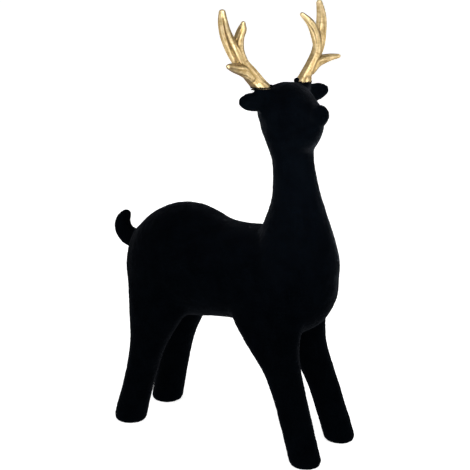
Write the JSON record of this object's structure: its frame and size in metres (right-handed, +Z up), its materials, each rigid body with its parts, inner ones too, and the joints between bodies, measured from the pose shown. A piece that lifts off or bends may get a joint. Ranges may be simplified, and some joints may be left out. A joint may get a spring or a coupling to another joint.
{
  "type": "reindeer figurine",
  "caption": "Standing flocked reindeer ornament with a turned head, ball nose, upturned tail and branching gold-leafed antlers.",
  "frame": {"origin": "on the ground, under the middle of the figure's box", "axes": "+Z up, the deer faces -Y, its left is +X"},
  "size_m": [0.1242, 0.2444, 0.4015],
  "materials": {
    "flock": "dense short black flock over a cast figure",
    "gold_leaf": "antiqued gold leaf over a cast antler, brown in the grooves"
  },
  "bodies": {
    "root": {"body": "flock", "antler_left": "gold_leaf", "antler_right": "gold_leaf"}
  },
  "joints": []
}
